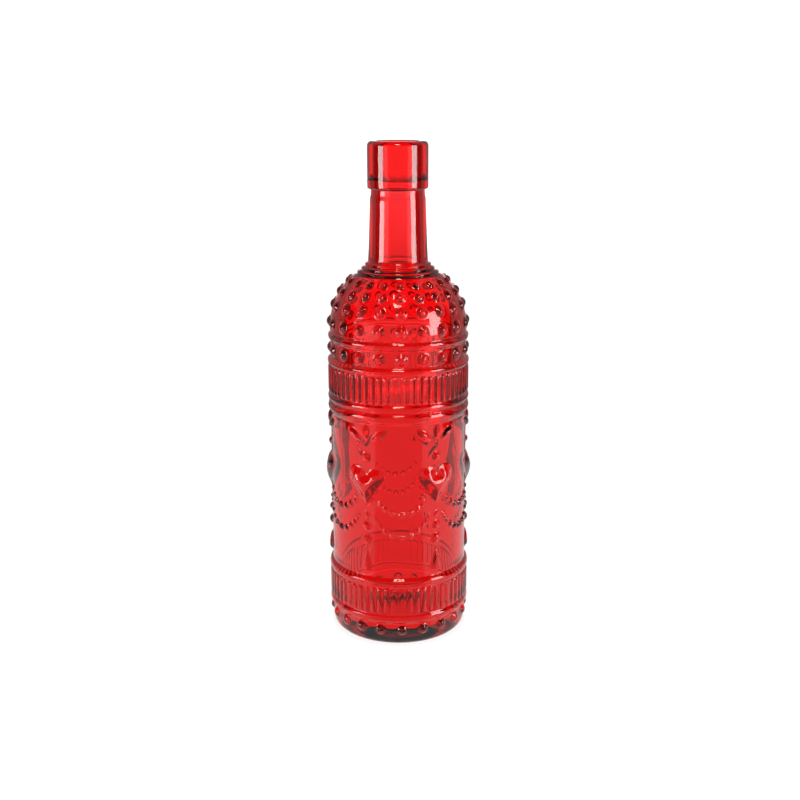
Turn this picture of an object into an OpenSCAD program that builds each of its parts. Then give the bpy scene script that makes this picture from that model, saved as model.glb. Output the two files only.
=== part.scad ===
// Embossed glass bottle, blown in a two-part mould.
// Origin on the axis at the plane it stands on, +Z up, the front column gap towards -Y.
// The bottle is a single piece of glass. Its moulded zones are separate solids that
// meet face to face, stacked from the base up, with the raised ornament on top of them.

/* [Body] */
// Radius of the plain panel and of the heel
panel_r = 35; // [34:0.1:36]
// Radius inside the body
cavity_r = 30.5; // [30:0.1:32.5]
// Radius of the heel's rounding
heel_round = 4; // [3:0.5:5]
// Radius at the outer edge of the flat ring it stands on
foot_r = 31; // [29:0.5:31]
// Height of the push-up under the middle of the base
push_up = 4.5; // [2:0.5:5]

/* [Bands] */
// Crest radius of the two upper body rings and of the two below the flutes
ring_r = 36.2; // [36:0.1:36.8]
// Crest radius of the two rings around the foot
foot_ring_r = 36.7; // [36.2:0.1:37]
// Number of flutes around each fluted band
flute_n = 60; // [48:4:72]
// Radius of one groove between two flutes
groove_r = 0.9; // [0.6:0.1:1.1]

/* [Pearls] */
// Number of pearls around each row
pearl_n = 20; // [16:2:22]
// Height of the base row
base_pearl_z = 8.6; // [8.4:0.1:8.8]
// Height of the row between the two shoulder rings
band_pearl_z = 150.8; // [150.4:0.1:151.2]
// Heights of the four rows on the dome
dome_row_z = [164.3, 173.3, 179.9, 185.3];
// Radii of the pearls in those four rows
dome_row_r = [3.2, 3.0, 2.6, 2.1];
// How far a pearl stands out of the glass
pearl_rise = 1.6; // [1:0.1:1.7]

/* [Panel ornament] */
// Number of heart columns around the panel
column_n = 6; // [4:1:6]
// Height of a heart's highest point
heart_z = 87; // [85:0.5:89]
// How far a heart stands out of the panel
heart_rise = 2.8; // [1:0.1:3]
// Radius of one lobe of a heart
heart_lobe = 5.6; // [5:0.1:6]

/* [Shoulder, neck and mouth] */
// Radius of the dome
dome_r = 34.9; // [34.5:0.1:35]
// Height of the dome's centre
dome_z = 161; // [160.5:0.1:161.5]
// Outer radius of the neck below the collar
neck_top_r = 13.9; // [13.5:0.1:14.2]
// Outer radius of the neck where it meets the shoulder
neck_foot_r = 15.1; // [14.6:0.1:15.4]
// Radius inside the neck
neck_bore_r = 10.5; // [10:0.1:11]
// Outer radius of the collar
collar_r = 15.2; // [14.9:0.1:15.5]
// Radius of the mouth, where a cork or pourer is pushed in
mouth_r = 9.5; // [9:0.1:9.9]
// Rounding of the collar's top rim
lip_round = 2.2; // [1.5:0.1:2.4]
// Height of the whole bottle
height = 253; // [250:0.5:256]

/* [Hidden] */
$fn = 128;
// Fineness of the walls that raised ornament is trimmed to
fine_fn = 250;
// Heights where one zone ends and the next begins
heel_top = 6;
pearl_wall_top = 12.4;
bead_top = 17.3;
low_flute_top = 31.6;
low_ring_top = 37.4;
panel_top = 118;
ring_4_top = 123.6;
ring_3_top = 128.2;
up_flute_top = 142.3;
ring_2_top = 146.8;
band_top = 155;
ring_1_top = 159.4;
dome_top = 188.2;
step_1_top = 190;
step_2_top = 192;
step_3_top = 193.8;
neck_top = 226;
groove_top = 230;
mouth_floor = 235;
// The wall behind the pearls of the upper band
band_wall_r = 34.7;
dome_wall = dome_r - cavity_r;
// Thickness of the base above the ring it stands on
base_t = 5;
// The ring it stands on starts at this radius
foot_in_r = 24;
step_r = [20.6, 18.5, 16.7];
neck_groove_r = 13.5;
base_pearl_r = 3.1;
band_pearl_r = 3.3;
// Ornament heights on each column, from the top
petal_z = 113.9;
leaf_z = 112.1;
leaf_off = 6.9;
leaf_tilt = 55;
ball_z = [101, 70.6, 64.8, 57.6];
ball_r = [2.1, 1.2, 2, 2.7];
ball_rise = [1.3, 0.9, 1.5, 1.6];
drop_z = 43.6;
drop_r = 2.4;
drop_tip = 7;
drop_rise = 1.8;
// Sideways places of a swag's pearls from its middle, and their radii
swag_x = [0, 4.6, 8.1, 10.9, 12.6, 14];
swag_r = [1.6, 1.5, 1.4, 1.2, 1, 0.9];
upper_swag_z = 71.7;
lower_swag_z = 59.7;
column_turn = 360 / column_n;
pearl_turn = 360 / pearl_n;
eps = 0.01;

// Radius of the dome's outside at height z
function dome_at(z) = sqrt(dome_r * dome_r - (z - dome_z) * (z - dome_z));
// Height of a swag's line at a place x from its middle, rising to the power 2.3
function swag_at(z, x) = z + 10 * pow(x / 14, 2.3);
// Outer radius of the neck at height z
function neck_at(z) = neck_foot_r + (neck_top_r - neck_foot_r)
    * (z - step_3_top) / (neck_top - step_3_top);

// A plain ring of glass between two heights
module ring_wall(z0, z1, r_out, r_in) {
    translate([0, 0, z0])
        difference() {
            cylinder(r = r_out, h = z1 - z0);
            translate([0, 0, -1])
                cylinder(r = r_in, h = z1 - z0 + 2);
        }
}

// A zone whose outside is one rounded ring, its crest at radius crest_r
module bead_zone(z0, z1, crest_r) {
    half = (z1 - z0) / 2;
    difference() {
        union() {
            translate([0, 0, z0])
                cylinder(r = crest_r - half, h = z1 - z0);
            translate([0, 0, z0 + half])
                rotate_extrude()
                    translate([crest_r - half, 0])
                        circle(r = half);
        }
        translate([0, 0, z0 - 1])
            cylinder(r = cavity_r, h = z1 - z0 + 2);
    }
}

// A zone with upright flutes, cut by grooves between them
module flute_zone(z0, z1, crest_r) {
    difference() {
        ring_wall(z0, z1, crest_r, cavity_r);
        for (i = [0 : flute_n - 1])
            rotate([0, 0, (i + 0.5) * 360 / flute_n])
                translate([0, -crest_r - groove_r * 0.25, z0 - 1])
                    cylinder(r = groove_r, h = z1 - z0 + 2, $fn = 24);
    }
}

// A row of pearls on an upright wall of radius wall_r
module wall_pearls(z, r, wall_r) {
    difference() {
        for (i = [0 : pearl_n - 1])
            rotate([0, 0, i * pearl_turn])
                translate([0, -(wall_r + pearl_rise - r), z])
                    sphere(r = r);
        translate([0, 0, z - r - 1])
            cylinder(r = wall_r, h = 2 * r + 2, $fn = fine_fn);
    }
}

// A row of pearls on the dome, set square to its surface
module dome_pearls(z, r) {
    reach = (dome_r + pearl_rise - r) / dome_r;
    difference() {
        for (i = [0 : pearl_n - 1])
            rotate([0, 0, i * pearl_turn])
                translate([0, -dome_at(z) * reach, dome_z + (z - dome_z) * reach])
                    sphere(r = r);
        translate([0, 0, dome_z])
            sphere(r = dome_r, $fn = fine_fn);
    }
}

// Six copies of the ornament, one on each column
module on_columns() {
    for (i = [0 : column_n - 1])
        rotate([0, 0, (i + 0.5) * column_turn])
            children();
}

// Presses a flat outline out of the panel, crowned by a ball of radius crown_r
// whose highest point stands rise above the panel at height z
module raised(z, rise, crown_r) {
    difference() {
        intersection() {
            translate([0, -panel_r - rise + crown_r, z])
                sphere(r = crown_r);
            translate([0, -panel_r + 5, z])
                rotate([90, 0, 0])
                    linear_extrude(height = 5 + rise)
                        children();
        }
        translate([0, 0, z - 30])
            cylinder(r = panel_r, h = 60, $fn = fine_fn);
    }
}

// Two lobes and a point, the origin level with the middle of the lobes
module heart_outline() {
    lobe_x = 5.2;
    tip_z = -11.5;
    lobe_z = 3.4;
    for (side = [-1, 1])
        translate([side * lobe_x, lobe_z])
            circle(r = heart_lobe);
    polygon([
        [0, tip_z],
        [lobe_x + heart_lobe * 0.86, lobe_z - heart_lobe * 0.5],
        [0, lobe_z + 1.5],
        [-lobe_x - heart_lobe * 0.86, lobe_z - heart_lobe * 0.5]
    ]);
}

// A pointed leaf between two arcs
module leaf_outline(half_l, half_w) {
    arc_r = (half_l * half_l + half_w * half_w) / (2 * half_w);
    intersection() {
        translate([arc_r - half_w, 0])
            circle(r = arc_r);
        translate([half_w - arc_r, 0])
            circle(r = arc_r);
    }
}

// A round drop with its point upwards
module drop_outline() {
    touch = acos(drop_r / drop_tip);
    circle(r = drop_r);
    polygon([
        [0, drop_tip],
        [-drop_r * sin(touch), drop_r * cos(touch)],
        [drop_r * sin(touch), drop_r * cos(touch)]
    ]);
}

// Pearls hanging in a curve between two columns, count on each side of the middle one
module swag(z, count) {
    difference() {
        for (i = [-count : count])
            rotate([0, 0, sign(i) * asin(swag_x[abs(i)] / panel_r)])
                translate([0, -(panel_r + swag_r[abs(i)] * 0.6 - swag_r[abs(i)]),
                    swag_at(z, swag_x[abs(i)])])
                    sphere(r = swag_r[abs(i)]);
        translate([0, 0, z - 5])
            cylinder(r = panel_r, h = 25, $fn = fine_fn);
    }
}

module base() {
    edge_drop = 3;
    under_r = (foot_in_r * foot_in_r + push_up * push_up) / (2 * push_up);
    floor_r = (cavity_r * cavity_r + edge_drop * edge_drop) / (2 * edge_drop);
    color("firebrick")
        difference() {
            union() {
                cylinder(r = foot_r, h = heel_top);
                translate([0, 0, heel_round])
                    rotate_extrude()
                        translate([foot_r, 0])
                            circle(r = heel_round);
                translate([0, 0, heel_round])
                    cylinder(r = panel_r, h = heel_top - heel_round);
                translate([0, 0, heel_top - eps])
                    intersection() {
                        translate([0, 0, edge_drop - floor_r])
                            sphere(r = floor_r);
                        cylinder(r = cavity_r, h = edge_drop + 1);
                    }
            }
            translate([0, 0, push_up - under_r])
                sphere(r = under_r);
            translate([0, 0, heel_top])
                difference() {
                    cylinder(r = panel_r + 1, h = 4);
                    translate([0, 0, -1])
                        cylinder(r = cavity_r, h = 6);
                }
        }
}

module heel_wall()
    color("firebrick") ring_wall(heel_top, pearl_wall_top, panel_r, cavity_r);

module base_pearls()
    color("crimson") wall_pearls(base_pearl_z, base_pearl_r, panel_r);

module foot_bead()
    color("firebrick") bead_zone(pearl_wall_top, bead_top, foot_ring_r);

module lower_flutes()
    color("crimson") flute_zone(bead_top, low_flute_top, foot_ring_r - 0.2);

module lower_ring()
    color("firebrick") bead_zone(low_flute_top, low_ring_top, foot_ring_r);

module panel_wall()
    color("red") ring_wall(low_ring_top, panel_top, panel_r, cavity_r);

module hearts() {
    crown_r = 26.5;
    color("darkred")
        on_columns()
            raised(heart_z, heart_rise, crown_r)
                heart_outline();
}

module petals() {
    rise = 1.3;
    half_l = 4;
    half_w = 1.2;
    color("darkred") {
        on_columns()
            raised(petal_z, rise, 14)
                leaf_outline(half_l * 0.9, half_w);
        on_columns()
            for (side = [-1, 1])
                rotate([0, 0, side * asin(leaf_off / panel_r)])
                    raised(leaf_z, rise, 14)
                        rotate([0, 0, -side * leaf_tilt])
                            leaf_outline(half_l, half_w);
    }
}

module chain_balls() {
    color("darkred")
        on_columns()
            difference() {
                for (i = [0 : len(ball_z) - 1])
                    translate([0, -(panel_r + ball_rise[i] - ball_r[i]), ball_z[i]])
                        sphere(r = ball_r[i]);
                translate([0, 0, low_ring_top])
                    cylinder(r = panel_r, h = panel_top - low_ring_top, $fn = fine_fn);
            }
}

module drops() {
    color("darkred")
        on_columns()
            raised(drop_z, drop_rise, 16)
                drop_outline();
}

module upper_swags() {
    color("crimson")
        for (i = [0 : column_n - 1])
            rotate([0, 0, i * column_turn])
                swag(upper_swag_z, 3);
}

module lower_swags() {
    color("crimson")
        for (i = [0 : column_n - 1])
            rotate([0, 0, i * column_turn])
                swag(lower_swag_z, 5);
}

module panel_top_ring()
    color("firebrick") bead_zone(panel_top, ring_4_top, ring_r);

module flute_foot_ring()
    color("firebrick") bead_zone(ring_4_top, ring_3_top, ring_r);

module upper_flutes()
    color("crimson") flute_zone(ring_3_top, up_flute_top, ring_r - 0.2);

module band_lower_ring()
    color("firebrick") bead_zone(up_flute_top, ring_2_top, ring_r);

module band_wall()
    color("red") ring_wall(ring_2_top, band_top, band_wall_r, cavity_r);

module band_pearls()
    color("crimson") wall_pearls(band_pearl_z, band_pearl_r, band_wall_r);

module band_upper_ring()
    color("firebrick") bead_zone(band_top, ring_1_top, ring_r - 0.4);

module shoulder_dome() {
    color("red")
        intersection() {
            difference() {
                union() {
                    translate([0, 0, dome_z])
                        sphere(r = dome_r);
                    translate([0, 0, ring_1_top])
                        cylinder(r = dome_r, h = dome_z - ring_1_top);
                }
                translate([0, 0, dome_z])
                    sphere(r = cavity_r);
                translate([0, 0, ring_1_top - 1])
                    cylinder(r = cavity_r, h = dome_z - ring_1_top + 1);
                translate([0, 0, dome_z])
                    cylinder(r = neck_bore_r, h = dome_r);
            }
            translate([0, 0, ring_1_top])
                cylinder(r = dome_r + 1, h = dome_top - ring_1_top);
        }
}

module dome_pearls_1()
    color("crimson") dome_pearls(dome_row_z[0], dome_row_r[0]);

module dome_pearls_2()
    color("crimson") dome_pearls(dome_row_z[1], dome_row_r[1]);

module dome_pearls_3()
    color("crimson") dome_pearls(dome_row_z[2], dome_row_r[2]);

module dome_pearls_4()
    color("crimson") dome_pearls(dome_row_z[3], dome_row_r[3]);

// One rounded step of the three that lead from the dome to the neck
module neck_step(z0, z1, crest_r) {
    round_r = (z1 - z0) / 2;
    difference() {
        union() {
            translate([0, 0, z0])
                cylinder(r = crest_r - round_r, h = z1 - z0);
            translate([0, 0, z0])
                cylinder(r = crest_r, h = round_r);
            translate([0, 0, z0 + round_r])
                rotate_extrude()
                    translate([crest_r - round_r, 0])
                        circle(r = round_r);
        }
        translate([0, 0, z0 - 1])
            cylinder(r = neck_bore_r, h = z1 - z0 + 2);
    }
}

module neck_step_1()
    color("firebrick") neck_step(dome_top, step_1_top, step_r[0]);

module neck_step_2()
    color("firebrick") neck_step(step_1_top, step_2_top, step_r[1]);

module neck_step_3()
    color("firebrick") neck_step(step_2_top, step_3_top, step_r[2]);

module neck() {
    color("red")
        translate([0, 0, step_3_top])
            difference() {
                cylinder(r1 = neck_foot_r, r2 = neck_top_r, h = neck_top - step_3_top);
                translate([0, 0, -1])
                    cylinder(r = neck_bore_r, h = neck_top - step_3_top + 2);
            }
}

module collar_groove()
    color("firebrick") ring_wall(neck_top, groove_top, neck_groove_r, neck_bore_r);

module collar() {
    edge_round = 1;
    color("red")
        difference() {
            union() {
                translate([0, 0, groove_top + edge_round])
                    cylinder(r = collar_r, h = height - lip_round - groove_top - edge_round);
                translate([0, 0, groove_top])
                    cylinder(r = collar_r - edge_round, h = height - groove_top);
                translate([0, 0, groove_top + edge_round])
                    rotate_extrude()
                        translate([collar_r - edge_round, 0])
                            circle(r = edge_round);
                translate([0, 0, height - lip_round])
                    rotate_extrude()
                        translate([collar_r - lip_round, 0])
                            circle(r = lip_round);
            }
            // Above the rounded rim
            translate([0, 0, height - lip_round])
                difference() {
                    cylinder(r = collar_r + 1, h = lip_round + 1);
                    translate([0, 0, -1])
                        cylinder(r = collar_r - lip_round, h = lip_round + 3);
                    rotate_extrude()
                        translate([collar_r - lip_round, 0])
                            circle(r = lip_round);
                }
            translate([0, 0, groove_top - 1])
                cylinder(r = neck_bore_r, h = mouth_floor - groove_top + 1);
            translate([0, 0, mouth_floor - 1])
                cylinder(r = mouth_r, h = height - mouth_floor + 2);
            // The mouth's flared inner edge
            translate([0, 0, height - lip_round + 0.2])
                cylinder(r1 = mouth_r, r2 = mouth_r + lip_round, h = lip_round);
        }
}

base();
heel_wall();
base_pearls();
foot_bead();
lower_flutes();
lower_ring();
panel_wall();
hearts();
petals();
chain_balls();
drops();
upper_swags();
lower_swags();
panel_top_ring();
flute_foot_ring();
upper_flutes();
band_lower_ring();
band_wall();
band_pearls();
band_upper_ring();
shoulder_dome();
dome_pearls_1();
dome_pearls_2();
dome_pearls_3();
dome_pearls_4();
neck_step_1();
neck_step_2();
neck_step_3();
neck();
collar_groove();
collar();
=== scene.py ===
import math

import bpy
import numpy as np
from mathutils import Euler, Matrix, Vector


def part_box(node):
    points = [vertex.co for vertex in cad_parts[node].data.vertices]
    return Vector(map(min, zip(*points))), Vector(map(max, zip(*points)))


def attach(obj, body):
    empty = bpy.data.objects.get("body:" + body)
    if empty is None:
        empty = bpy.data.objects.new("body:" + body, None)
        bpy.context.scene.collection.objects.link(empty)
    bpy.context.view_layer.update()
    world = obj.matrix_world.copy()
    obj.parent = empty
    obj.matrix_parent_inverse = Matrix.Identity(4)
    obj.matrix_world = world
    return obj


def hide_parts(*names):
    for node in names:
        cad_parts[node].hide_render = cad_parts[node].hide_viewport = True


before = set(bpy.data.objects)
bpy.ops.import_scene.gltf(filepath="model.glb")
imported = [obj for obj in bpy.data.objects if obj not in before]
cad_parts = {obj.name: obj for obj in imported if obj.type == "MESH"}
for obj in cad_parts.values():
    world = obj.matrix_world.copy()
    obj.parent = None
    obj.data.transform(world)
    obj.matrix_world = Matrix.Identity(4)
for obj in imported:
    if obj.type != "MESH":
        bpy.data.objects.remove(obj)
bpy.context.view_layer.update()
scene = bpy.context.scene

# ---------------------------------------------------------------- Camera
# A short telephoto a little over half a metre away, above the mouth and looking down, so that
# the rings curve and the panel is seen almost square between two columns of ornament.
MM = 0.001
CAMERA_AWAY = 565.8 * MM
CAMERA_UP = 273.6 * MM
CAMERA_TURN = -2.48
CAMERA_DOWN = 15.01
CAMERA_LEAN = -0.16
CAMERA_LENS = 50.87
CAMERA_SHIFT = 0.002

camera_data = bpy.data.cameras.new("camera")
camera_data.lens = CAMERA_LENS
camera_data.sensor_width = 36.0
camera_data.shift_x = CAMERA_SHIFT
camera = bpy.data.objects.new("camera", camera_data)
turn = math.radians(CAMERA_TURN)
camera.location = (CAMERA_AWAY * math.sin(turn), -CAMERA_AWAY * math.cos(turn), CAMERA_UP)
aim = Euler((math.radians(90 - CAMERA_DOWN), 0, turn)).to_matrix()
camera.rotation_euler = (aim @ Matrix.Rotation(math.radians(CAMERA_LEAN), 3, "Z")).to_euler()
scene.collection.objects.link(camera)
scene.camera = camera

# ---------------------------------------------------------------- Studio
# A white table in a white room, a softbox at each side, a smaller one overhead, and grey and
# dark cards that only the glass sees, which give its edges and ornament depth.
scene.view_settings.view_transform = "Standard"
scene.view_settings.look = "None"


def srgb(hex_colour):
    """Linear red, green and blue of an sRGB hex colour, with the standard two-part curve."""
    parts = np.array([int(hex_colour[i:i + 2], 16) for i in (1, 3, 5)]) / 255.0
    return tuple(np.where(parts <= 0.04045, parts / 12.92, ((parts + 0.055) / 1.055) ** 2.4))


def add(tree, kind, settings=None, links=None):
    """Adds one node, sets its properties and its sockets' values, and links its inputs."""
    node = tree.nodes.new(kind)
    for name, value in (settings or {}).items():
        if name in node.inputs:
            node.inputs[name].default_value = value
        else:
            setattr(node, name, value)
    for name, source in (links or {}).items():
        tree.links.new(source, node.inputs[name])
    return node


def empty_material(name):
    """A material whose node tree holds nothing but its output."""
    material = bpy.data.materials.new(name)
    material.use_nodes = True
    material.node_tree.nodes.clear()
    return material, material.node_tree, material.node_tree.nodes.new("ShaderNodeOutputMaterial")


def mesh_object(name, verts, faces, material, smooth=True):
    """A mesh object at the origin from a vertex array and a list of faces."""
    mesh = bpy.data.meshes.new(name)
    mesh.from_pydata(verts.tolist(), [], faces)
    mesh.polygons.foreach_set("use_smooth", [smooth] * len(mesh.polygons))
    mesh.materials.append(material)
    mesh.update()
    piece = bpy.data.objects.new(name, mesh)
    scene.collection.objects.link(piece)
    return piece


# The floor is a white acrylic table with a painted glow, as if lit from below, brighter towards the
# backdrop. To the eye it is plain white, with a painted shade, a touch greyer, close under the
# foot. Matt white mixed into the glow lets the lamps fall on it softly.
FLOOR_HALF = 6.0
UNDER_GLOW = 1.0
NEAR_GLOW = 0.98
FAR_GLOW = 1.5
EYE_PAINTED_SHADE_GLOW = 0.96
EYE_GLOW = 1.13
GLOW_SHARE = 0.9
floor_material, tree, out = empty_material("white_acrylic_table")
spot = add(tree, "ShaderNodeTexCoord")
away = add(tree, "ShaderNodeVectorMath", {"operation": "LENGTH"})
tree.links.new(spot.outputs["Object"], away.inputs[0])


def fade(near, far, start, end):
    """A smooth change from start to end between two distances from the axis, in metres."""
    node = add(tree, "ShaderNodeMapRange",
               {"interpolation_type": "SMOOTHSTEP", "From Min": near, "From Max": far,
                "To Min": start, "To Max": end}, {"Value": away.outputs["Value"]})
    return node.outputs["Result"]


def combine(operation, first, second):
    """One maths node on two sockets."""
    node = add(tree, "ShaderNodeMath", {"operation": operation})
    tree.links.new(first, node.inputs[0])
    tree.links.new(second, node.inputs[1])
    return node.outputs[0]


rays = add(tree, "ShaderNodeLightPath")
# The glass sees a painted glow that grows brighter towards the backdrop
painted_glow = combine("MULTIPLY", fade(0.032, 0.062, UNDER_GLOW, NEAR_GLOW), fade(0.35, 1.9, 1.0, FAR_GLOW))
# The eye sees white with a painted shade, a touch greyer, close under the foot
eye_white_with_painted_shade = fade(0.033, 0.039, EYE_PAINTED_SHADE_GLOW, EYE_GLOW)
to_eye = combine("MULTIPLY", rays.outputs["Is Camera Ray"], eye_white_with_painted_shade)
glow = add(tree, "ShaderNodeEmission", {"Color": (1, 1, 1, 1)},
           {"Strength": combine("MAXIMUM", painted_glow, to_eye)})
white = add(tree, "ShaderNodeBsdfDiffuse", {"Color": (*srgb("#FFFFFF"), 1)})
share = add(tree, "ShaderNodeMixShader", {"Fac": GLOW_SHARE})
tree.links.new(white.outputs[0], share.inputs[1])
tree.links.new(glow.outputs[0], share.inputs[2])
tree.links.new(share.outputs[0], out.inputs["Surface"])
corners = np.array([[-1, -1, 0], [1, -1, 0], [1, 1, 0], [-1, 1, 0]]) * FLOOR_HALF
floor = mesh_object("floor", corners, [(0, 1, 2, 3)], floor_material, smooth=False)

# The room is white to the eye. The glass sees bright walls low down and a dark ceiling.
ROOM_GLOW = 1.4
CEILING_GLOW = 0.06
world = bpy.data.worlds.new("room")
scene.world = world
world.use_nodes = True
tree = world.node_tree
tree.nodes.clear()
direction = add(tree, "ShaderNodeTexCoord")
split = add(tree, "ShaderNodeSeparateXYZ", None, {"Vector": direction.outputs["Generated"]})
height_fade = add(tree, "ShaderNodeMapRange",
                  {"interpolation_type": "SMOOTHSTEP", "From Min": 0.02, "From Max": 0.35,
                   "To Min": ROOM_GLOW, "To Max": CEILING_GLOW}, {"Value": split.outputs["Z"]})
rays = add(tree, "ShaderNodeLightPath")
seen = combine("MAXIMUM", rays.outputs["Is Camera Ray"], height_fade.outputs["Result"])
sky = add(tree, "ShaderNodeBackground", {"Color": (1, 1, 1, 1)}, {"Strength": seen})
add(tree, "ShaderNodeOutputWorld", None, {"Surface": sky.outputs[0]})


def ring_place(degrees, distance, up):
    """The point at a compass angle from the front, at a distance from the axis and a height."""
    angle = math.radians(degrees)
    return (distance * math.sin(angle), -distance * math.cos(angle), up)


def softbox(name, degrees, distance, size, up, brightness, tilt=90, colour="#FFFFFF"):
    """A rectangular area light on a ring around the object, turned to face the axis. Its power
    is its brightness times pi times its area."""
    lamp = bpy.data.lights.new(name, "AREA")
    lamp.shape = "RECTANGLE"
    lamp.size = size[0]
    lamp.size_y = size[1]
    lamp.energy = brightness * math.pi * size[0] * size[1]
    lamp.color = srgb(colour)
    light = bpy.data.objects.new(name, lamp)
    light.location = ring_place(CAMERA_TURN + degrees, distance, up)
    light.rotation_euler = (math.radians(tilt), 0, math.radians(CAMERA_TURN + degrees))
    light.visible_camera = False
    scene.collection.objects.link(light)


# The side boxes draw the bright upright lines down the neck and the dome, and the overhead one
# the short lights on each ring.
softbox("left_strip", -67, 1.05, (0.38, 0.30), 0.16, 9.0)
softbox("right_strip", 64, 1.05, (0.38, 0.62), 0.33, 9.0)
softbox("overhead", 0, 0.55, (0.22, 0.34), 0.86, 17.0, tilt=42, colour="#FFEEDC")

# Cards stand around the object, seen only in and through the glass. The grey ones deepen its
# edges and keep white out of the front's reflections, and the dark ones draw its ornament.
CARD_STEPS = 16
CARD_AWAY = 0.42
CARD_TALL = 1.0


def card(name, first, last, points, shade):
    """A card bent round the axis: a section of (distance, height) points in metres, swept
    from the first compass angle to the last."""
    material, tree, out = empty_material(name)
    dim = add(tree, "ShaderNodeEmission", {"Color": (1, 1, 1, 1), "Strength": shade})
    tree.links.new(dim.outputs[0], out.inputs["Surface"])
    section = np.array(points)
    angles = np.radians(np.linspace(first, last, CARD_STEPS) + CAMERA_TURN)
    reach = section[:, :1]
    height = np.broadcast_to(section[:, 1:], (len(section), CARD_STEPS))
    verts = np.stack([reach * np.sin(angles), -reach * np.cos(angles), height], 2)
    index = np.arange(len(section) * CARD_STEPS).reshape(-1, CARD_STEPS)
    faces = np.stack([index[:-1, :-1], index[:-1, 1:], index[1:, 1:], index[1:, :-1]], 2)
    piece = mesh_object(name, verts.reshape(-1, 3), faces.reshape(-1, 4).tolist(), material)
    piece.visible_camera = False
    piece.visible_diffuse = False
    piece.visible_shadow = False


card("front_card", -38, 38, [(0.05, 0.001), (0.9, 0.001), (0.9, 0.5)], 0.42)
card("right_card", 82, 160, [(CARD_AWAY, 0.001), (CARD_AWAY, CARD_TALL)], 0.36)
card("left_card", 200, 278, [(CARD_AWAY, 0.001), (CARD_AWAY, CARD_TALL)], 0.36)
card("right_low_card", 149, 161, [(0.2, 0.002), (0.41, 0.002), (0.41, 0.06)], 0.16)
card("left_low_card", 199, 211, [(0.2, 0.002), (0.41, 0.002), (0.41, 0.06)], 0.16)
card("right_side_card", 77, 96, [(0.4, 0.001), (0.4, 0.35)], 0.04)
card("left_side_card", 264, 283, [(0.4, 0.001), (0.4, 0.35)], 0.04)

# ---------------------------------------------------------------- Glass
# The whole bottle is one skin of glass. It is built as zones, from the middle of the
# underside up the outside, over the rim and down the inside. Each zone is a profile turned
# about the axis, raised along its own normal by the ornament that the mould's wall gave it.
zones = []


def zone(profile, columns, relief=None):
    """Adds a zone: profile points (radius, height) in mm, the number of points around, and a
    function of (angle, radius, height) that gives how far the glass is raised, in mm."""
    zones.append((np.asarray(profile, float), columns, relief))


def line(start, end, count):
    """Points spaced evenly from start up to, but not including, end."""
    steps = np.linspace(0, 1, count, endpoint=False)[:, None]
    return np.array(start) * (1 - steps) + np.array(end) * steps


def arc(centre, radius, first, last, count):
    """Points on a circle between two angles, 0 pointing outwards and 90 up, last left out."""
    angles = np.radians(np.linspace(first, last, count, endpoint=False))
    return np.stack([centre[0] + radius * np.cos(angles), centre[1] + radius * np.sin(angles)], 1)


def span(node):
    """Lowest height, highest height and outer radius of a CAD node, in mm."""
    low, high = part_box(node)
    return low[2] / MM, high[2] / MM, high[0] / MM


def soft_max(a, b, blend):
    """The larger of two surfaces, blended into each other over the given height."""
    return 0.5 * (a + b + np.sqrt((a - b) ** 2 + blend ** 2))


def cap(distance, ball, rise, blend=0.3):
    """Height of a ball of glass that stands rise out of the wall, with a fillet round it."""
    sunk = ball - rise
    round_part = np.sqrt(np.maximum(ball ** 2 - distance ** 2, 0)) - sunk
    beyond = -sunk - np.maximum(distance - ball, 0)
    return soft_max(np.where(distance < ball, round_part, beyond), 0.0, blend) - 0.5 * (
        np.sqrt(sunk ** 2 + blend ** 2) - sunk)


def around(angle, radius, count, first=0.0):
    """Distance along the wall from the nearest of count places spaced evenly round the axis."""
    pitch = 2 * np.pi / count
    return ((angle - first + pitch / 2) % pitch - pitch / 2) * radius


# ---- Foot
# The thick glass floor of the bottle, formed on the mould's bottom plate. A shallow push-up
# keeps its middle off the table, so it stands on a ring, and the heel rounds up to the wall.
heel_low, heel_high, heel_r = span("heel_wall")
FOOT_R = 31.0
FOOT_IN_R = 24.0
PUSH_UP = 4.4
HEEL_ROUND = 4.0
push_r = np.linspace(0, FOOT_IN_R, 12)
underside = np.stack([push_r, PUSH_UP * (1 - (push_r / FOOT_IN_R) ** 2)], 1)
zone(underside[:1], 1)
zone(underside[1:], 96)
zone(line((FOOT_IN_R + 1.5, 0), (FOOT_R, 0), 3), 96)
zone(arc((heel_r - HEEL_ROUND, HEEL_ROUND), HEEL_ROUND, -90, 0, 7), 180)

# ---- Base pearls
# A row of round glass buttons just above the heel, blown out into hollows cut in the mould.
PEARLS = 20
PEARL_RISE = 1.6
pearl_low, pearl_high, _ = span("base_pearls")
base_pearl_z = (pearl_low + pearl_high) / 2
BASE_PEARL_BALL = 3.15


def base_pearl_relief(angle, radius, height):
    """One ball every 18 degrees, measured along the wall."""
    across = around(angle, radius, PEARLS)
    return cap(np.hypot(across, height - base_pearl_z), BASE_PEARL_BALL, PEARL_RISE)


zone(line((heel_r, HEEL_ROUND + 0.3), (heel_r, heel_high), 12), 360, base_pearl_relief)

# ---- Foot bead
# The rounded ring of glass between the pearls and the lower flutes, the widest place of the
# foot, blown into a groove in the mould.
BEAD_RUN_OUT = 65


def bead(node, wall_below, wall_above, count):
    """Profile of one rounded ring that fills a CAD node's height. Its crest is at the node's
    radius, and it is an arc that swells out of the walls below and above it."""
    low, high, crest = span(node)
    run_out = math.radians(BEAD_RUN_OUT)
    angle = np.linspace(-run_out, run_out, count)
    swell = (np.cos(angle) - math.cos(run_out)) / (1 - math.cos(run_out))
    wall = np.where(angle < 0, wall_below, wall_above)
    height = (low + high) / 2 + 0.47 * (high - low) * np.sin(angle) / math.sin(run_out)
    return np.stack([wall + (crest - wall) * swell, height], 1)


FLUTE_VALLEY = 0.75
low_flute_z0, low_flute_z1, low_flute_r = span("lower_flutes")
zone(bead("foot_bead", heel_r + 0.1, low_flute_r - FLUTE_VALLEY, 8), 180)

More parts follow.
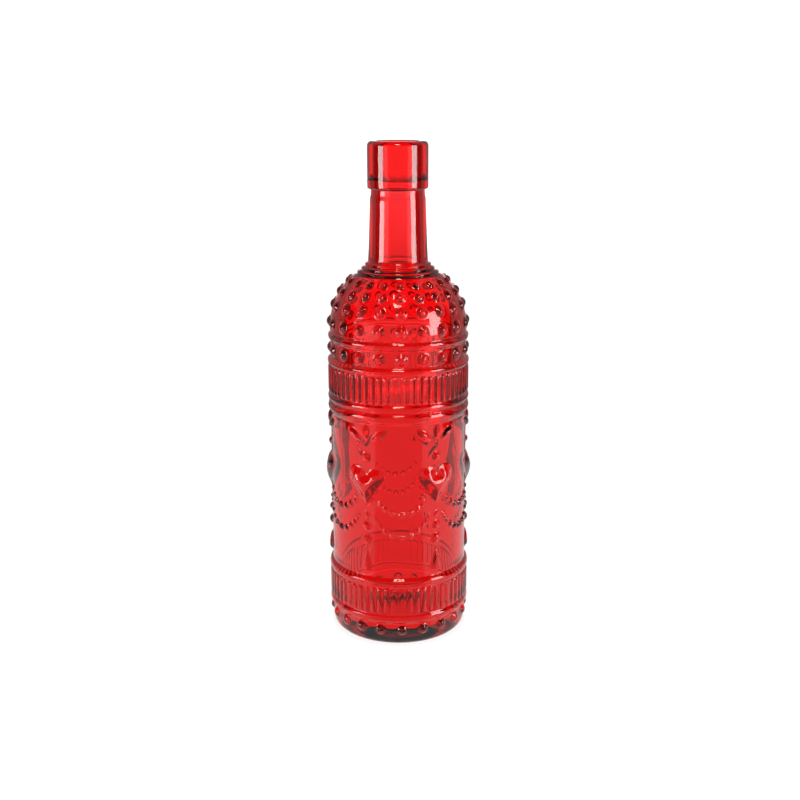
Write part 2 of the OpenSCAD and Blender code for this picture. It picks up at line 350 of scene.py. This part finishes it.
# ---- Lower flutes
# A band of sixty upright reeds of glass with rounded ends, blown into a fluted ring of the
# mould. Their crests stay inside the rings above and below.
FLUTES = 60


def flutes(low, high, end_round):
    """Reeds whose section is a parabola across the pitch, faded out over their rounded ends."""
    def relief(angle, radius, height):
        pitch = 2 * np.pi * radius / FLUTES
        across = 2 * around(angle, radius, FLUTES) / pitch
        end = np.clip(np.minimum(height - low, high - height) / end_round, 0, 1)
        # The end of a reed is a quarter ellipse, drawn in towards its middle
        reach = np.sqrt(np.clip(1 - (1 - end) ** 2, 0, 1))
        return FLUTE_VALLEY * np.maximum(reach - across ** 2, 0)
    return relief


def flute_rows(low, high, end_round):
    """Heights of a fluted band's rows, close together at the rounded ends."""
    ends = np.array([0, 0.12, 0.35, 0.65, 1.0]) * end_round
    return np.concatenate([low + ends, (high - ends)[::-1]])


def flute_zone(low, high, crest, end_round=1.4):
    """Adds one fluted band between two heights, with its crests at a radius."""
    rows = flute_rows(low, high, end_round)
    zone(np.stack([np.full(len(rows), crest - FLUTE_VALLEY), rows], 1), 480,
         flutes(low, high, end_round))


flute_zone(low_flute_z0 + 0.1, low_flute_z1 - 0.2, low_flute_r)

# ---- Lower ring
# The heavy rounded ring of glass at the foot of the panel, blown into a groove in the mould.
panel_low, panel_high, panel_r = span("panel_wall")
zone(bead("lower_ring", low_flute_r - FLUTE_VALLEY, panel_r, 10), 180)

# ---- Panel and its ornament
# The tall plain wall of the bottle, blown against a mould cut with six columns of three leaves,
# a ball, a heart, three more balls and a drop. Between the columns hang two rows of small
# pearls, and a soft fillet joins each form to the wall.
COLUMNS = 6
COLUMN_FIRST = np.pi / COLUMNS
HEART_PEAK_Z = 87.0
HEART_RISE = 2.79
HEART_LOBE = 5.5
HEART_LOBE_X = 5.1
HEART_LOBE_Z = 90.6
HEART_TIP_Z = 75.0
HEART_CROWN_ABOVE = 30.0
HEART_CROWN_BELOW = 50.0
HEART_SLOPE = 0.72
HEART_FOOT = 1.0


def heart_inside(x, z):
    """How far a point is inside the heart's outline: the distance to either lobe's circle or,
    below where the sides touch the lobes, the distance to the nearer side or to the notch."""
    lobes = HEART_LOBE - np.hypot(np.abs(x) - HEART_LOBE_X, z - HEART_LOBE_Z)
    rise = HEART_LOBE_Z - HEART_TIP_Z
    far = math.hypot(HEART_LOBE_X, rise)
    lean = math.atan2(HEART_LOBE_X, rise) + math.asin(HEART_LOBE / far)
    side = (z - HEART_TIP_Z) * math.sin(lean) - np.abs(x) * math.cos(lean)
    along = (z - HEART_TIP_Z) * math.cos(lean) + np.abs(x) * math.sin(lean)
    notch_z = HEART_LOBE_Z + math.sqrt(HEART_LOBE ** 2 - HEART_LOBE_X ** 2)
    middle = np.minimum(side, np.hypot(x, z - notch_z))
    below = (along < math.sqrt(far ** 2 - HEART_LOBE ** 2)) & (z < notch_z)
    return np.maximum(lobes, np.where(below, middle, -50.0))


def heart_relief(x, z):
    """A heart with a broad bevel that leaves the wall in a fillet, under a crown that falls
    slowly to the tip and quickly to the notch."""
    above = np.maximum(z - HEART_PEAK_Z, 0)
    below = np.maximum(HEART_PEAK_Z - z, 0)
    crown = (HEART_RISE - above ** 2 / HEART_CROWN_ABOVE - below ** 2 / HEART_CROWN_BELOW
             - (x / 10) ** 2 * 0.3)
    bevel = HEART_SLOPE * soft_max(heart_inside(x, z) - HEART_FOOT, 0.0, 0.9)
    return np.maximum(-soft_max(-crown, -bevel, 0.35) - 0.05, 0)


def leaf_relief(x, z, half_long, half_wide, rise):
    """A leaf between two arcs, as high as it is wide at each place along it."""
    along = np.clip(1 - (z / half_long) ** 2, 0, 1)
    wide = half_wide * along + 1e-6
    return rise * np.sqrt(along) * np.sqrt(np.clip(1 - (x / wide) ** 2, 0, 1))


LEAF_Z = 112.3
LEAF_X = 6.9
LEAF_TILT = math.radians(55)
PETAL_Z = 114.0


def petal_relief(x, z):
    """One upright leaf between two leaves that spread to the sides."""
    middle = leaf_relief(x, z - PETAL_Z, 3.7, 1.35, 1.5)
    side_x = np.abs(x) - LEAF_X
    side_z = z - LEAF_Z
    along = side_x * math.sin(LEAF_TILT) + side_z * math.cos(LEAF_TILT)
    across = side_x * math.cos(LEAF_TILT) - side_z * math.sin(LEAF_TILT)
    return np.maximum(middle, leaf_relief(across, along, 4.6, 1.65, 1.6))


DROP_Z = 42.8
DROP_R = 2.5
DROP_TIP = 8.2
DROP_RISE = 1.8


def drop_relief(x, z):
    """A drop that hangs from its point: round below, narrowing in a curve above."""
    up = np.clip((z - DROP_Z) / DROP_TIP, 0, 1)
    wide = DROP_R * (1 - up) ** 0.85 + 1e-6
    down = np.clip((DROP_Z - z) / DROP_R, 0, 1)
    long_part = np.where(z > DROP_Z, 1 - up ** 2, 1 - down ** 2)
    return DROP_RISE * np.sqrt(np.clip(long_part, 0, 1)) * np.sqrt(
        np.clip(1 - (x / wide) ** 2 - np.where(z > DROP_Z, 0, down ** 2), 0, 1))


# Height on the wall, radius and rise of each column's four balls
BALLS = [(101.0, 2.2, 1.3), (70.6, 1.35, 0.9), (64.8, 2.1, 1.45), (57.6, 2.8, 1.6)]
# Sideways places and radii of a hanging row's pearls, from its middle out to one end, then the
# height of each row's middle and how many of those places it uses
SWAG_X = np.array([0, 4.6, 8.1, 10.9, 12.6, 14.0])
SWAG_BALL = np.array([1.65, 1.5, 1.4, 1.25, 1.1, 0.95])
SWAGS = [(71.7, 4), (59.7, 6)]
SWAG_HALF = 14.0
SWAG_SAG = 10.0


def panel_relief(angle, radius, height):
    """All of the panel's ornament: the tallest of its forms at each place."""
    x = around(angle, radius, COLUMNS, COLUMN_FIRST)
    raised = np.maximum(heart_relief(x, height), petal_relief(x, height))
    raised = np.maximum(raised, drop_relief(x, height))
    for ball_z, ball, rise in BALLS:
        raised = np.maximum(raised, cap(np.hypot(x, height - ball_z), ball, rise, 0.2))
    x = np.abs(around(angle, radius, COLUMNS))
    for middle_z, count in SWAGS:
        for pearl_x, ball in zip(SWAG_X[:count], SWAG_BALL[:count]):
            pearl_z = middle_z + SWAG_SAG * (pearl_x / SWAG_HALF) ** 2.3
            raised = np.maximum(raised, cap(np.hypot(x - pearl_x, height - pearl_z), ball,
                                            ball * 0.8, 0.12))
    return raised


# Rows and points around of each part of the panel, closest where the ornament is small
for first, last, rows, columns in [(panel_low + 0.3, 38.8, 2, 192), (38.8, 51.5, 16, 384),
                                   (51.5, 54.4, 3, 192), (54.4, 75.0, 36, 384),
                                   (75.0, 98.2, 25, 480), (98.2, 103.6, 8, 384),
                                   (103.6, 108.4, 3, 192), (108.4, panel_high - 0.2, 14, 384)]:
    zone(line((panel_r, first), (panel_r, last), rows), columns, panel_relief)

# ---- Panel top rings
# Two rounded rings of glass, a heavy one that closes the panel and a smaller one at the foot of
# the upper flutes, blown into grooves in the mould.
up_flute_z0, up_flute_z1, up_flute_r = span("upper_flutes")
zone(bead("panel_top_ring", panel_r, panel_r + 0.2, 9), 180)
zone(bead("flute_foot_ring", panel_r + 0.2, up_flute_r - FLUTE_VALLEY, 8), 180)

# ---- Upper flutes
# The second band of sixty upright glass reeds, just under the pearl band, blown into a fluted
# ring of the mould like the first.
flute_zone(up_flute_z0 + 0.1, up_flute_z1 - 0.1, up_flute_r)

# ---- Pearl band
# A short plain wall of glass with one row of pearls, between a ring below and one above. All
# of it is blown into the same mould as the panel.
band_low, band_high, band_r = span("band_wall")
zone(bead("band_lower_ring", up_flute_r - FLUTE_VALLEY, band_r, 8), 180)
BAND_PEARL_BALL = 3.3
band_pearl_low, band_pearl_high, _ = span("band_pearls")
band_pearl_z = (band_pearl_low + band_pearl_high) / 2


def band_pearl_relief(angle, radius, height):
    """One ball every 18 degrees, measured along the wall."""
    across = around(angle, radius, PEARLS)
    return cap(np.hypot(across, height - band_pearl_z), BAND_PEARL_BALL, PEARL_RISE)


zone(line((band_r, band_low + 0.2), (band_r, band_high - 0.1), 12), 360, band_pearl_relief)

# ---- Shoulder
# A ring, then a dome of glass with four rows of twenty pearls that shrink towards the neck.
# The pearls stand square to the dome, blown into hollows drilled in the mould.
zone(bead("band_upper_ring", band_r, band_r, 8), 180)
DOME_R = 34.9
DOME_Z = 161.0
dome_low, dome_high, _ = span("shoulder_dome")
# Height and radius of each row's pearls
DOME_PEARLS = [(164.3, 3.2), (173.3, 3.0), (179.9, 2.6), (185.3, 2.1)]


def dome_relief(angle, radius, height):
    """Four rows of balls, each measured along the dome up from its equator."""
    raised = np.zeros(np.broadcast(angle, height).shape)
    lift = DOME_R * np.arcsin(np.clip((height - DOME_Z) / DOME_R, -1, 1))
    for row_z, ball in DOME_PEARLS:
        row_lift = DOME_R * math.asin((row_z - DOME_Z) / DOME_R)
        across = around(angle, radius, PEARLS)
        raised = np.maximum(raised, cap(np.hypot(across, lift - row_lift), ball,
                                        min(PEARL_RISE, ball * 0.6), 0.25))
    return raised


dome_first = math.degrees(math.asin((dome_low + 0.3 - DOME_Z) / DOME_R))
dome_last = math.degrees(math.asin((dome_high - DOME_Z) / DOME_R))
DOME_MIDDLE = 26.0
zone(arc((0, DOME_Z), DOME_R, dome_first, DOME_MIDDLE, 20), 340, dome_relief)
zone(arc((0, DOME_Z), DOME_R, DOME_MIDDLE, dome_last, 19), 280, dome_relief)

# ---- Neck root
# Three rounded steps of glass that lead from the dome up to the neck, each blown into a groove
# near the top of the mould.
for name in ("neck_step_1", "neck_step_2", "neck_step_3"):
    step_low, step_high, step_r = span(name)
    round_r = (step_high - step_low) * 0.48
    zone(arc((step_r - round_r, step_low + round_r + 0.05), round_r, -50, 85, 7), 120)

# ---- Neck
# The slim plain neck of glass, a little narrower towards the top, and drawn in by a small
# groove under the collar.
neck_low, neck_high, neck_foot_r = span("neck")
groove_low, groove_high, groove_r = span("collar_groove")
NECK_TOP_R = 13.9
NECK_BEND = (14.75, 201)
zone(line((neck_foot_r + 0.1, neck_low + 0.2), NECK_BEND, 5), 120)
zone(line(NECK_BEND, (NECK_TOP_R, neck_high - 1.2), 9), 120)
zone([(NECK_TOP_R, neck_high - 0.9), (groove_r + 0.25, neck_high - 0.1),
      (groove_r, neck_high + 1.2), (groove_r, groove_high - 0.8)], 120)

# ---- Collar
# The plain thick band of glass round the mouth, formed first, in the mould's neck ring, with a
# straight bore for a cork. Fire polishing rounds its rim.
_, collar_high, collar_r = span("collar")
LIP_ROUND = 2.2
EDGE_ROUND = 0.9
MOUTH_R = 9.5
MOUTH_ROUND = 1.9
zone(arc((groove_r + 0.5, groove_high - 0.5), 0.5, 180, 90, 3), 120)
zone(arc((collar_r - EDGE_ROUND, groove_high + EDGE_ROUND), EDGE_ROUND, -90, 0, 5), 120)
zone(line((collar_r, groove_high + EDGE_ROUND), (collar_r, collar_high - LIP_ROUND), 5), 120)
zone(arc((collar_r - LIP_ROUND, collar_high - LIP_ROUND), LIP_ROUND, 0, 90, 8), 120)
zone(arc((MOUTH_R + MOUTH_ROUND, collar_high - MOUTH_ROUND), MOUTH_ROUND, 90, 180, 7), 120)

# ---- Inside
# The straight bore left by the plunger, then the cavity that air blew open. No mould touches
# the glass in there, so its wall is smooth and not quite even in thickness.
NECK_BORE = 10.5
BORE_END = 235.0
CAVITY_R = 30.5
FLOOR_Z = 6.2
FLOOR_ROUND = 6.0
FLOOR_CROWN = 2.6
WAVE_RISE = 0.12


def blown_waves(angle, radius, height):
    """Slow waves of the wall's thickness: a few sines of the angle and the height."""
    shape = (np.sin(3 * angle + height / 14) + 0.7 * np.sin(5 * angle - height / 9 + 1.3)
             + 0.5 * np.sin(8 * angle + height / 6 + 4.0) + 0.4 * np.sin(height / 5 + 2 * angle))
    return WAVE_RISE * shape


zone(line((MOUTH_R, collar_high - MOUTH_ROUND - 0.4), (MOUTH_R, BORE_END + 0.6), 5), 96)
zone([(MOUTH_R + 0.1, BORE_END + 0.2), (NECK_BORE - 0.2, BORE_END - 0.5)], 96)
zone(line((NECK_BORE, BORE_END - 1.2), (NECK_BORE, 194), 12), 96,
     lambda angle, radius, height: 0.4 * blown_waves(angle, radius, height))
zone(arc((NECK_BORE + 5, 193.5), 5, 180, 248, 6), 96)
inner_first = math.degrees(math.acos((NECK_BORE + 4.4) / CAVITY_R))
zone(arc((0, DOME_Z), CAVITY_R, inner_first, 0, 14), 90, blown_waves)
zone(line((CAVITY_R, DOME_Z), (CAVITY_R, FLOOR_Z + FLOOR_ROUND), 30), 90, blown_waves)
zone(arc((CAVITY_R - FLOOR_ROUND, FLOOR_Z + FLOOR_ROUND), FLOOR_ROUND, 0, -82, 8), 96)
floor_r = np.linspace(CAVITY_R - FLOOR_ROUND + 0.6, 0, 9)
inner_floor = np.stack([floor_r, FLOOR_Z + FLOOR_CROWN * (1 - (floor_r / floor_r[0]) ** 2)], 1)
zone(inner_floor[:-1], 72)
zone(inner_floor[-1:], 1)


# ---- Sewing
# The real bottle is one gather of glass with no inner faces, so the zones are joined into one
# closed skin, and rings with different numbers of points are sewn together with triangles.
def sew(lower, upper, low_start, up_start):
    """Triangles between two rings of different counts. Each ring's next point is joined to
    the last point passed on the other ring, going round by angle."""
    tris = []
    if lower > 1:
        j = np.arange(lower)
        opposite = -(-(j + 1) * upper // lower) - 1
        tris.append(np.stack([low_start + j, low_start + (j + 1) % lower,
                              up_start + opposite % upper], 1))
    if upper > 1:
        k = np.arange(upper)
        opposite = ((k + 1) * lower // upper) % lower
        tris.append(np.stack([low_start + opposite, up_start + (k + 1) % upper, up_start + k], 1))
    return np.concatenate(tris)


def turned_skin(all_zones):
    """Vertices in metres and faces of the closed skin that the zones make."""
    profile = np.concatenate([points for points, _, _ in all_zones])
    along = np.gradient(profile, axis=0)
    normal = np.stack([along[:, 1], -along[:, 0]], 1)
    normal /= np.linalg.norm(normal, axis=1)[:, None]
    verts, quads, tris = [], [], []
    start = row = 0
    last_ring = None
    for points, columns, relief in all_zones:
        rows = len(points)
        angle = (np.arange(columns) * 2 * np.pi / columns)[None, :]
        radius = points[:, :1]
        height = points[:, 1:]
        raised = relief(angle, radius, height) if relief else np.zeros((rows, columns))
        n = normal[row:row + rows]
        reach = radius + raised * n[:, :1]
        grid = np.stack([reach * np.sin(angle), -reach * np.cos(angle),
                         np.broadcast_to(height + raised * n[:, 1:], reach.shape)], 2)
        verts.append(grid.reshape(-1, 3) * MM)
        if last_ring:
            tris.append(sew(last_ring[0], columns, last_ring[1], start))
        index = start + np.arange(rows * columns).reshape(rows, columns)
        after = np.roll(index, -1, axis=1)
        quads.append(np.stack([index[:-1], after[:-1], after[1:], index[1:]], 2).reshape(-1, 4))
        last_ring = (columns, start + (rows - 1) * columns)
        start += rows * columns
        row += rows
    return np.concatenate(verts), np.concatenate(quads).tolist() + np.concatenate(tris).tolist()


# ---- Glass
# Red soda-lime glass, coloured in the mass, blown in a mould and fire polished. To the eye it
# is clear, glossy and red, deeper where it is thick, and a faint orange peel from the mould
# makes its reflections waver.
GLASS_IOR = 1.5
GLASS_RED = "#FC5F72"
GLASS_DENSITY = 723.036
PEEL_SIZE = 9 * MM
PEEL_DEPTH = 0.4 * MM
glass_material, tree, out = empty_material("red_soda_lime_glass_mould_blown")
place = add(tree, "ShaderNodeTexCoord")
peel = add(tree, "ShaderNodeTexNoise", {"Scale": 1 / PEEL_SIZE, "Detail": 2.0, "Roughness": 0.5},
           {"Vector": place.outputs["Object"]})
skin = add(tree, "ShaderNodeBump", {"Strength": 0.06, "Distance": PEEL_DEPTH},
           {"Height": peel.outputs["Fac"]})
glass = add(tree, "ShaderNodeBsdfPrincipled",
            {"Base Color": (*srgb("#FFFFFF"), 1), "Roughness": 0.0, "IOR": GLASS_IOR,
             "Transmission Weight": 1.0}, {"Normal": skin.outputs["Normal"]})
absorb = add(tree, "ShaderNodeVolumeAbsorption",
             {"Color": (*srgb(GLASS_RED), 1), "Density": GLASS_DENSITY})
tree.links.new(glass.outputs[0], out.inputs["Surface"])
tree.links.new(absorb.outputs[0], out.inputs["Volume"])

verts, faces = turned_skin(zones)
bottle = mesh_object("glass_bottle", verts, faces, glass_material)
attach(bottle, "root")
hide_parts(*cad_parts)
